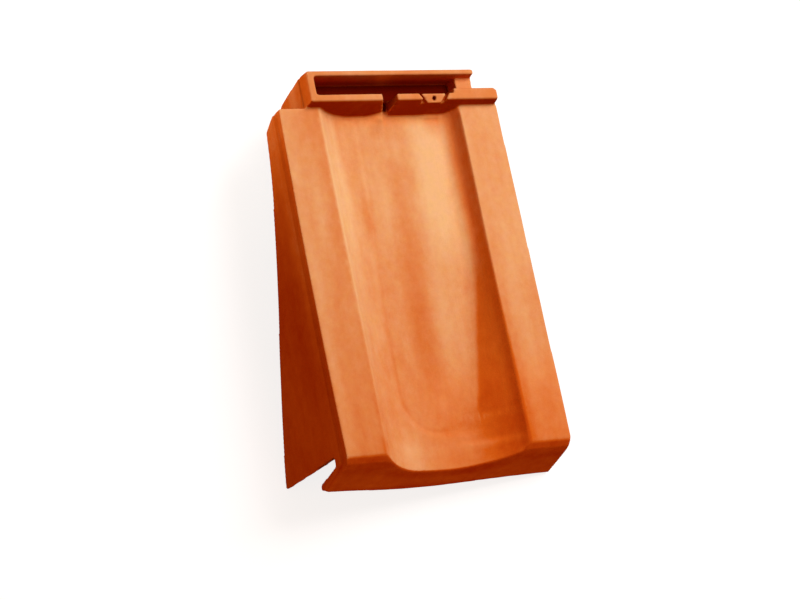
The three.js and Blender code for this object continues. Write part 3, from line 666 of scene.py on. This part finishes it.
def seam_shade_line():
    """1 on the seam's thin line of painted shade, drawn from the tile's own Y and Z in metres."""
    y_z = node("SeparateXYZ", {0: place}).outputs
    turn, foot = seam_line()[-2:] / 1000
    out = np.array([turn[1] - foot[1], foot[0] - turn[0]]) / np.linalg.norm(foot - turn)
    if out[0] > 0:
        out = -out
    above = math_node("ADD", y_z[2], SEAM_DEPTH / 1000)
    before = math_node("MULTIPLY_ADD", y_z[1], out[0], float(-(out @ foot)))
    before = math_node("MULTIPLY_ADD", y_z[2], out[1], before)
    edge = math_node("ABSOLUTE", math_node("SMOOTH_MAX", above, before, SEAM_LINE_TURN), 0)
    back = math_node("MULTIPLY_ADD", y_z[1], -HEAD_SEAM_SLOPE, HEAD_SEAM_START)
    back = math_node("ADD", math_node("MULTIPLY", y_z[2], -1.0), back)
    behind = math_node("GREATER_THAN", y_z[1], (FACE_LENGTH + 2) / 1000)
    distance = node("Mix", {0: behind, 2: edge, 3: math_node("ABSOLUTE", back, 0)}).outputs[0]
    line = fade(distance, SEAM_LINE_CORE, SEAM_LINE_EDGE, 1.0, 0.0)
    return math_node("MULTIPLY", line, attribute("verge"))


clouds = noise(16, (1, 0.5, 1), 3)
streaks = noise(70, (1, 0.07, 1), 2)
blotches = noise(120, (1, 0.7, 1), 2)
grain = noise(900, detail=2.5, rough=0.6)
scratches = noise(420, (1, 0.05, 1), 1)

tone = weighted(
    (attribute("pale"), 1.0),
    (clouds, 0.5),
    (streaks, 0.2),
    (blotches, 0.26),
    (grain, 0.22),
    (attribute("worn"), 0.16),
    # painted shade in creases and under edges that face down
    (attribute("painted_crease_shade"), -0.2),
    # painted shade along the seam's crease
    (seam_shade_line(), -0.1),
)
on_ramp = math_node("MULTIPLY_ADD", tone, 1 / TONE_RANGE, -TONE_MIN / TONE_RANGE)
ramp = node("ValToRGB", {"Fac": on_ramp})
stops = ramp.color_ramp.elements
stops[0].position, stops[0].color = TONES[0]
stops[1].position, stops[1].color = TONES[-1]
for position, colour in TONES[1:-1]:
    stops.new(position).color = colour

# Painted shade: ambient occlusion darkens the clay in hollows, the pit floors get painted shadow
# and the ribs' foot painted warm light.
reach = {"Distance": SHELTER_REACH}
shelter = node("AmbientOcclusion", reach, samples=8, only_local=True).outputs["AO"]
open_air = fade(shelter, *SHELTER_FADE, 0.0, 1.0)
tint = mixed(attribute("recess"), OPEN, mixed(open_air, WALL_SHADE, OPEN))
tint = mixed(attribute("pit"), mixed(attribute("warm"), tint, WARM), PIT_SHADE)
hue = between(noise(80, detail=4.0, rough=0.65), *HUES)
firing = between(noise(230, detail=3.0), *FIRINGS)
colour = ramp.outputs["Color"]
for factor in (tint, hue, firing):
    colour = mixed(1.0, colour, factor, "MULTIPLY")
links.new(colour, shader.inputs["Base Color"])

uneven = weighted((clouds, 0.25), (grain, 0.2), (attribute("worn"), -0.08))
links.new(math_node("ADD", uneven, ROUGHNESS), shader.inputs["Roughness"])
shader.inputs["Specular IOR Level"].default_value = GLOSS
shader.inputs["Specular Tint"].default_value = GLOSS_TINT

relief = weighted((grain, 0.5), (scratches, 0.35), (blotches, 0.6))
grained = {"Height": relief, "Strength": GRAIN_STRENGTH, "Distance": GRAIN_HEIGHT}
bump = node("Bump", grained)
links.new(bump.outputs["Normal"], shader.inputs["Normal"])

tile.data.materials.clear()
tile.data.materials.append(clay)

# ---- Floor and surroundings; the camera sees white, the tile a dim warm light ----


def seen_directly(tree):
    """1 where the camera sees the surface, itself or in a gloss or through glass."""
    rays = tree.nodes.new("ShaderNodeLightPath").outputs
    share = rays["Is Camera Ray"]
    for name in ("Is Glossy Ray", "Is Transmission Ray"):
        either = tree.nodes.new("ShaderNodeMath")
        either.operation = "MAXIMUM"
        tree.links.new(share, either.inputs[0])
        tree.links.new(rays[name], either.inputs[1])
        share = either.outputs[0]
    return share


def camera_white(name, colour, bounce, glow_strength):
    """Plain surface that reads as pale to the camera and keeps the shadows that fall on it."""
    material = bpy.data.materials.new(name)
    material.use_nodes = True
    n, k = material.node_tree.nodes, material.node_tree.links
    n.remove(n["Principled BSDF"])
    seen = n.new("ShaderNodeBsdfDiffuse")
    seen.inputs["Color"].default_value = (*colour, 1)
    glow = n.new("ShaderNodeEmission")
    glow.inputs["Strength"].default_value = glow_strength
    both = n.new("ShaderNodeAddShader")
    k.new(seen.outputs[0], both.inputs[0])
    k.new(glow.outputs[0], both.inputs[1])
    dull = n.new("ShaderNodeBsdfDiffuse")
    dull.inputs["Color"].default_value = (*bounce, 1)
    pick = n.new("ShaderNodeMixShader")
    k.new(seen_directly(material.node_tree), pick.inputs[0])
    k.new(dull.outputs[0], pick.inputs[1])
    k.new(both.outputs[0], pick.inputs[2])
    k.new(pick.outputs[0], n["Material Output"].inputs["Surface"])
    return material


FLOOR_REACH = 6
FLOOR_SEEN, FLOOR_BOUNCE, FLOOR_GLOW = (0.3, 0.3, 0.3), (0.25, 0.12, 0.045), 0.82
WORLD_COLOUR, WORLD_STRENGTH = (1.0, 0.60, 0.36, 1), 0.27

floor_mesh = bpy.data.meshes.new("floor")
corners = [(x * FLOOR_REACH, y * FLOOR_REACH, 0) for x, y in ((-1, -1), (1, -1), (1, 1), (-1, 1))]
floor_mesh.from_pydata(corners, [], [(0, 1, 2, 3)])
floor = bpy.data.objects.new("floor", floor_mesh)
bpy.context.scene.collection.objects.link(floor)
floor_mesh.materials.append(camera_white("pale_floor", FLOOR_SEEN, FLOOR_BOUNCE, FLOOR_GLOW))

world = bpy.data.worlds.new("studio")
world.use_nodes = True
bpy.context.scene.world = world
wn, wl = world.node_tree.nodes, world.node_tree.links
background = wn["Background"]
background.inputs["Color"].default_value = WORLD_COLOUR
background.inputs["Strength"].default_value = WORLD_STRENGTH
white = wn.new("ShaderNodeBackground")
white.inputs["Strength"].default_value = 1.0
pick = wn.new("ShaderNodeMixShader")
wl.new(seen_directly(world.node_tree), pick.inputs[0])
wl.new(background.outputs[0], pick.inputs[1])
wl.new(white.outputs[0], pick.inputs[2])
wl.new(pick.outputs[0], wn["World Output"].inputs["Surface"])

# ---- Lights; points and directions are in the tile's frame, in metres ----
TILE_CENTRE, NOSE_MIDDLE = Vector((0.130, 0.180, -0.01)), Vector((0.13, 0.0, -0.03))
VERGE_HEAD, VERGE_MIDDLE = Vector((0.0, 0.36, -0.02)), Vector((0.0, 0.15, -0.04))


def softbox(name, target, direction, distance, size, power, colour=(1, 1, 1)):
    """An area light that looks at a point of the tile from a direction and distance."""
    lamp = bpy.data.lights.new(name, "AREA")
    lamp.shape = "RECTANGLE"
    lamp.size, lamp.size_y = size
    lamp.energy = power
    lamp.color = colour
    holder = bpy.data.objects.new(name, lamp)
    stand = REST @ (target + Vector(direction).normalized() * distance)
    aim = (stand - REST @ target).to_track_quat("Z", "Y")
    holder.matrix_world = Matrix.LocRotScale(stand, aim, None)
    bpy.context.scene.collection.objects.link(holder)


softbox("key_light", TILE_CENTRE, (0.26, 0.27, 0.92), 2.2, (1.1, 1.1), 47)
# Low ones, below the plane of the face, light the verge side and the nose.
softbox("verge_light", VERGE_HEAD, (-0.13, 0.08, 0.0), 0.153, (0.12, 0.08), 0.175, (1, 0.93, 0.8))
softbox("verge_fill", VERGE_MIDDLE, (-1.0, -0.25, -0.02), 0.9, (0.6, 0.2), 1.75, (1, 0.45, 0.15))
softbox("nose_light", NOSE_MIDDLE, (0.0, -1.0, 0.0), 0.45, (0.3, 0.08), 0.48, (1, 0.6, 0.3))

# ---- Camera, fitted to the photo; its place and axes are in the tile's frame ----
PHOTO_WIDTH, FOCAL_PIXELS, SENSOR_MM = 800, 2999.555, 36
CAMERA_PLACE = Vector((-1.427124, -0.579642, 2.515740))
CAMERA_AXES = (
    (0.863508, -0.194092, 0.465491),
    (0.048212, 0.950521, 0.306896),
    (-0.502025, -0.242565, 0.830140),
)
lens = bpy.data.cameras.new("photo_view")
lens.sensor_width = SENSOR_MM
lens.lens = FOCAL_PIXELS * SENSOR_MM / PHOTO_WIDTH
lens.clip_end = 50
camera = bpy.data.objects.new("photo_view", lens)
axes = Matrix(CAMERA_AXES).transposed().to_4x4()
camera.matrix_world = REST @ Matrix.Translation(CAMERA_PLACE) @ axes
bpy.context.scene.collection.objects.link(camera)
bpy.context.scene.camera = camera

bpy.context.scene.view_settings.view_transform = "Standard"
